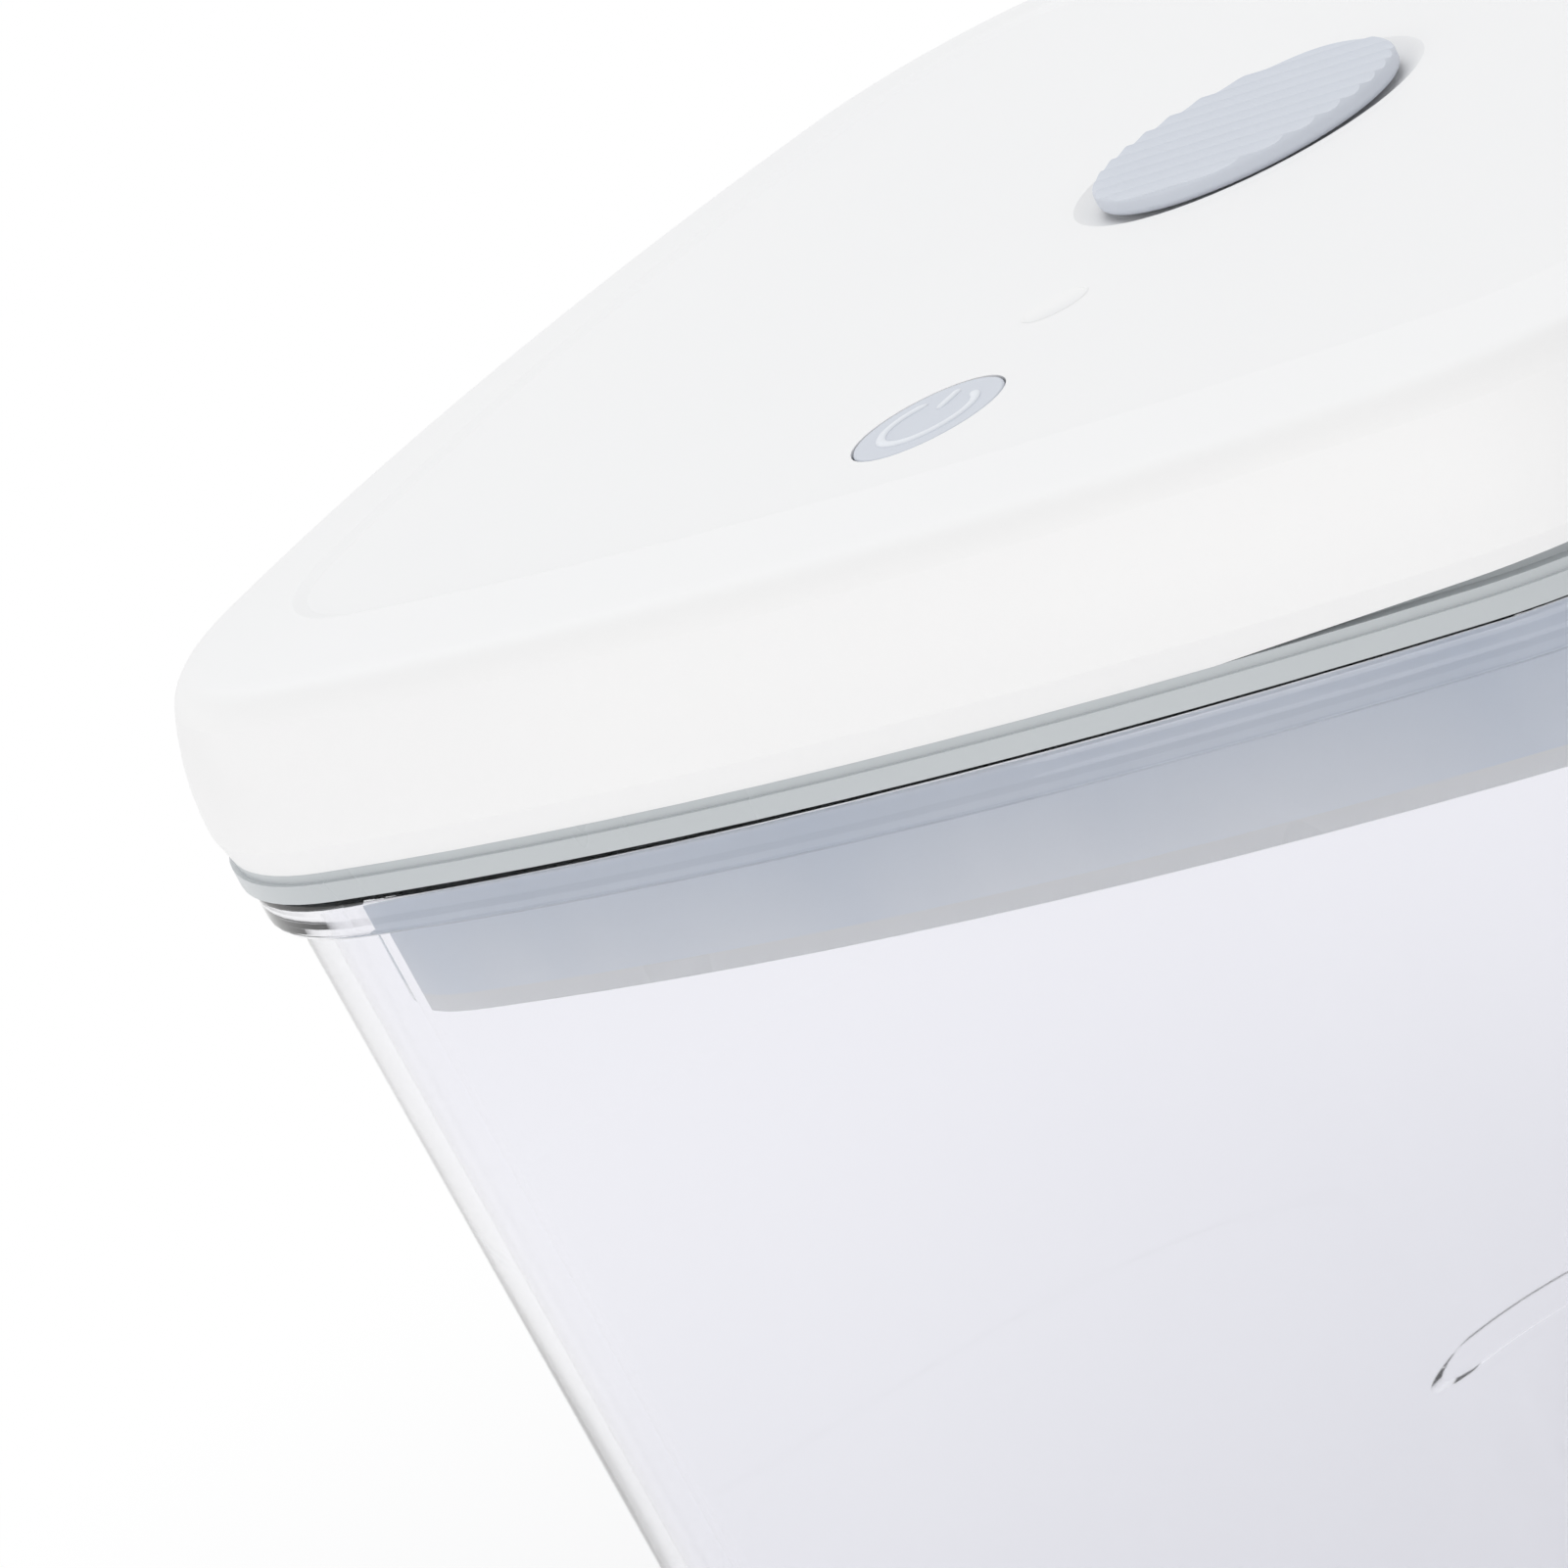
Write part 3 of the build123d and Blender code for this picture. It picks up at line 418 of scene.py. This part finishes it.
# %% [markdown]
# ## Soft feet
# Four translucent silicone feet keep the tub from sliding. They are seen through the floor of
# the tub, so a plain scuffed surface is enough, with no light passing through.

# %% Foot silicone
foot_rubber = Finish("scuffed_foot_silicone", IOR=1.41)
scuff = foot_rubber.grain(400.0, detail=3.0)
foot_rubber.paint(
    colour=foot_rubber.blend(scuff, tint(206, 209, 212), tint(222, 224, 226)),
    roughness=0.5 + 0.2 * scuff,
)
foot_rubber.bump(scuff, 0.1, 0.0002)
foot_rubber.dress("base_feet")

# %% [markdown]
# ## Metal parts
# Screws, motor can, shaft and the charging socket's shell are plated steel. Drawing and
# turning leave fine lines, so the noise is stretched along the motor before it reaches
# roughness and relief.

# %% Plated steel
steel = Finish("plated_steel", Metallic=1.0)
drawn = steel.grain(500.0, detail=3.0, stretch=(0.05, 1, 1))
steel.paint(
    colour=steel.blend(drawn, tint(176, 178, 182), tint(204, 205, 208)),
    roughness=0.24 + 0.16 * drawn,
)
steel.bump(drawn, 0.08, 0.0001)
steel.dress("pump_motor", "motor_shaft", "shell_screw_set", "small_screw_set", "charging_socket")

# %% [markdown]
# ## Circuit boards
# The boards are green with a lighter net of tracks under the lacquer. Drawing real tracks
# would be a job of its own and the boards are hidden, so a cell pattern, squared off by its
# distance measure, stands for them.

# %% Lacquered board
board = Finish("board_lacquer", IOR=1.5)
track_start = 0.42  # the share of a cell's spacing at which its border, a track, begins
cell_centres = board.node(
    "ShaderNodeTexVoronoi",
    {"distance": "CHEBYCHEV", "feature": "F1"},
    {"Vector": board.place, "Scale": 300.0, "Randomness": 0.6},
)
tracks = cell_centres.math("GREATER_THAN", cell_centres, track_start)
board.paint(
    colour=board.blend(tracks, tint(28, 98, 62), tint(44, 124, 80)),
    roughness=0.25 + 0.1 * board.grain(300.0),
)
board.bump(tracks, 0.15, 0.0001)
board.dress("circuit_board", "charging_board")

# %% [markdown]
# ## Black moulded parts
# Chips, switch, sensor and the pump's housing are black filled plastic with a dull grain.
# Pure black would swallow their shape, so it is a dark grey.

# %% Black plastic
black = Finish("black_filled_plastic", IOR=1.5)
speck = black.grain(1800.0)
black.paint(
    colour=black.blend(speck, tint(28, 29, 31), tint(42, 43, 45)),
    roughness=0.45 + 0.15 * speck,
)
black.bump(speck, 0.12, 0.0001)
black.dress("control_chips", "switch_body", "pressure_sensor", "check_valve")
black.dress("pump_housing", "pump_valve_head")

# %% [markdown]
# ## White moulded parts inside
# Guide, cam, straps and sockets are natural nylon, a little creamy. A warm tint and a milky
# noise set them off from the lid's clean white.

# %% Natural nylon
nylon = Finish("natural_nylon", IOR=1.5)
milk = nylon.grain(120.0)
nylon.paint(
    colour=nylon.blend(milk, tint(222, 220, 210), tint(234, 232, 224)),
    roughness=0.4 + 0.12 * milk,
)
nylon.bump(nylon.grain(1500.0), 0.06, 0.0001)
nylon.dress("stem_guide", "pump_cam", "switch_plunger")
nylon.dress("motor_strap", "battery_strap", "wire_sockets")

# %% [markdown]
# ## The suction tube
# The tube is silicone too, but cloudier and shinier than the seal, because it is extruded and
# not moulded.

# %% Cloudy tube silicone
tube_finish = Finish("cloudy_tube_silicone", IOR=1.41)
haze = tube_finish.grain(300.0)
tube_finish.paint(
    colour=tube_finish.blend(haze, tint(206, 210, 212), tint(226, 229, 230)),
    roughness=0.3 + 0.2 * haze,
)
tube_finish.bump(haze, 0.05, 0.0001)
tube_finish.dress("suction_tube")

# %% [markdown]
# ## The inlet filter
# The filter is open grey foam. A cell pattern gives both painted shade in the middles of its
# pores and their depth, where real holes would cost thousands of faces.

# %% Open foam
foam = Finish("open_grey_foam", IOR=1.4)
foam_pores_and_shade = foam.node("ShaderNodeTexVoronoi", inputs={"Vector": foam.place, "Scale": 1600.0})
# The colour's dark end is painted shade in the middles of the pores.
foam.paint(
    colour=foam.blend(foam_pores_and_shade, tint(92, 95, 98), tint(158, 161, 164)),
    roughness=0.85 + 0.1 * foam_pores_and_shade,
)
foam.bump(foam_pores_and_shade, 0.6, 0.0003)
foam.dress("inlet_filter")

# %% [markdown]
# ## The status lamp
# The lamp is a small light with a pale yellow resin cap. It is off here, so it has a colour
# and no glow.

# %% Lamp resin
lamp_cap = Finish("lamp_resin", IOR=1.5)
phosphor = lamp_cap.grain(900.0, detail=1.0)
lamp_cap.paint(
    colour=lamp_cap.blend(phosphor, tint(236, 226, 150), tint(246, 240, 190)),
    roughness=0.3 + 0.1 * phosphor,
)
lamp_cap.dress("status_light")

# %% [markdown]
# ## The battery
# The cell wears a heat-shrunk blue sleeve. It shrinks into wrinkles along the cell, so the
# noise is stretched that way.

# %% Battery sleeve
sleeve = Finish("shrunk_battery_sleeve", IOR=1.5)
wrinkle = sleeve.grain(260.0, detail=3.0, stretch=(1, 0.12, 1))
sleeve.paint(
    colour=sleeve.blend(wrinkle, tint(52, 84, 150), tint(66, 100, 166)),
    roughness=0.3 + 0.12 * wrinkle,
)
sleeve.bump(wrinkle, 0.25, 0.0002)
sleeve.dress("battery")

# %% [markdown]
# ## From a shape to a piece
# The last two details are built point by point. Both end in the same way: the faces are
# turned outwards, smoothed, put in a mesh and given a finish, so one helper does that.

# %% Turn a built shape into a piece


def made_piece(name, shape, finish):
    """An object made of a built shape, smooth and dressed in a finish."""
    bmesh.ops.recalc_face_normals(shape, faces=shape.faces)
    mesh = bpy.data.meshes.new(name)
    shape.to_mesh(mesh)
    shape.free()
    mesh.shade_smooth()
    mesh.materials.append(finish.material)
    piece = bpy.data.objects.new(name, mesh)
    scene.collection.objects.link(piece)
    print(name, "faces:", len(mesh.polygons))
    return piece


print("piece helper ready")

# %% [markdown]
# ## A raised bead
# A sign moulded on plastic is a low ridge with a rounded top. It could be painted with a
# texture, but a raised edge catches the light from every side, so a half-round section is set
# at each point of a line, turned across it, and made smaller at both ends.

# %% Sweep a low rounded bead along a line
section_steps = 8
end_points, end_share = 3.0, 0.8  # points over which an end tapers, and where it starts


def bead(name, lines, width, height, floor_z, finish):
    """A closed mesh of low half-round beads along lines of (x, y) points, in metres."""
    shape = bmesh.new()
    section = []
    for n in range(section_steps + 1):
        angle = math.pi * n / section_steps
        section.append((math.cos(angle) * width / 2, math.sin(angle) * height))
    for line in lines:
        last = len(line) - 1
        rings = []
        for n, (x, y) in enumerate(line):
            ahead = Vector(line[min(n + 1, last)]) - Vector(line[max(n - 1, 0)])
            side = Vector((ahead.y, -ahead.x)).normalized()
            from_end = min(1.0, (min(n, last - n) + end_share) / end_points)
            taper = math.sin(math.pi / 2 * from_end)
            ring = []
            for u, v in section:
                out = side * u * taper
                ring.append(shape.verts.new((x + out.x, y + out.y, floor_z + v * taper)))
            rings.append(ring)
        for first, second in zip(rings, rings[1:]):
            for n in range(len(section)):
                m = (n + 1) % len(section)
                shape.faces.new((first[n], first[m], second[m], second[n]))
        shape.faces.new(list(reversed(rings[0])))
        shape.faces.new(rings[-1])
    return made_piece(name, shape, finish)


print("bead helper ready")

# %% [markdown]
# ## The start sign on the button
# A broken ring and a bar stand a little less than 0.3 mm proud of the button, in the same
# plastic, coloured a little paler. The bead starts just below the button's face, so that no gap
# shows under it.

# %% The button's raised sign
sign_finish = Finish("pale_sign_blue_grey", IOR=1.45)
sign_mottle = sign_finish.grain(80.0, detail=3.0)
sign_finish.paint(
    colour=sign_finish.blend(sign_mottle, tint(224, 228, 235), tint(232, 236, 241)),
    roughness=0.4 + 0.1 * sign_mottle,
)
sign_finish.bump(sign_finish.grain(3200.0, detail=1.0), 0.05, 0.0001)

button_low, button_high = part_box("power_button")
button_x = (button_low.x + button_high.x) / 2
button_y = (button_low.y + button_high.y) / 2
panel_z = button_high.z

ring_radius, half_gap, ring_steps = 0.0055, math.radians(34), 60
broken_ring = []
for n in range(ring_steps + 1):
    angle = math.pi / 2 + half_gap + (2 * math.pi - 2 * half_gap) * n / ring_steps
    broken_ring.append((
        button_x + ring_radius * math.cos(angle), button_y + ring_radius * math.sin(angle)
    ))
bar_start, bar_length, bar_steps = 0.0021, 0.0045, 12
bar = [
    (button_x, button_y + bar_start + bar_length * n / bar_steps) for n in range(bar_steps + 1)
]

stroke_width, stroke_height, stroke_root = 0.0012, 0.00030, 0.00003
start_sign = bead(
    "button_sign",
    [broken_ring, bar],
    stroke_width,
    stroke_height,
    panel_z - stroke_root,
    sign_finish,
)
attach(start_sign, "button")

# %% [markdown]
# ## The light window
# Between knob and button the lid has a shallow scoop over its indicator lamp: level with the
# panel on one side, and sunk on the side nearest the eye. A ball cut from the panel would sink
# all round, so a disc of rings gets a slanted floor, with a quick step down at the low side.

# %% Shape the scoop over the lens
ring_count, ring_points, rim_share, lean_power = 24, 72, 0.14, 1.6


def scoop(name, centre, radius, depth, towards, top, finish):
    """A slanted dish of rings, level at one side and sunk at the side it leans towards."""
    shape = bmesh.new()
    rings = []
    for n in range(1, ring_count + 1):
        share = n / ring_count
        wall = min(1.0, (1 - share) / rim_share)
        ring = []
        for m in range(ring_points):
            angle = 2 * math.pi * m / ring_points
            side = Vector((math.cos(angle), math.sin(angle)))
            lean = (1 + share * side.dot(towards)) / 2
            drop = depth * lean ** lean_power * wall * wall * (3 - 2 * wall)
            x, y = centre[0] + radius * share * side.x, centre[1] + radius * share * side.y
            ring.append(shape.verts.new((x, y, top - drop)))
        rings.append(ring)
    for first, second in zip(rings, rings[1:]):
        for m in range(ring_points):
            after = (m + 1) % ring_points
            shape.faces.new((first[m], second[m], second[after], first[after]))
    shape.faces.new(rings[0])
    return made_piece(name, shape, finish)


print("scoop helper ready")

# %% [markdown]
# ## The window's finish
# It is the lid's white, with painted shade that turns it greyer the deeper the scoop goes.

# %% The window over the lens
window_radius, window_depth, window_lift = 0.0040, 0.00038, 0.00002
window_finish = Finish("window_white_painted_shade", IOR=1.46)
veil = window_finish.grain(300.0)
# Painted shade: the window greys as its surface sinks below the panel.
recess_shade = window_finish.between(window_finish.height(), panel_z, panel_z - window_depth)
window_finish.paint(
    colour=window_finish.blend(recess_shade * recess_shade, tint(240, 240, 240), tint(214, 215, 218)),
    roughness=0.36 + 0.1 * veil,
)
window_finish.bump(veil, 0.05, 0.0001)

lens_low, lens_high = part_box("indicator_lens")
lens_middle = ((lens_low.x + lens_high.x) / 2, (lens_low.y + lens_high.y) / 2)
sunk_side = Vector((0.72, -0.69))
window = scoop(
    "light_window",
    lens_middle,
    window_radius,
    window_depth,
    sunk_side,
    panel_z + window_lift,
    window_finish,
)
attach(window, "lid")
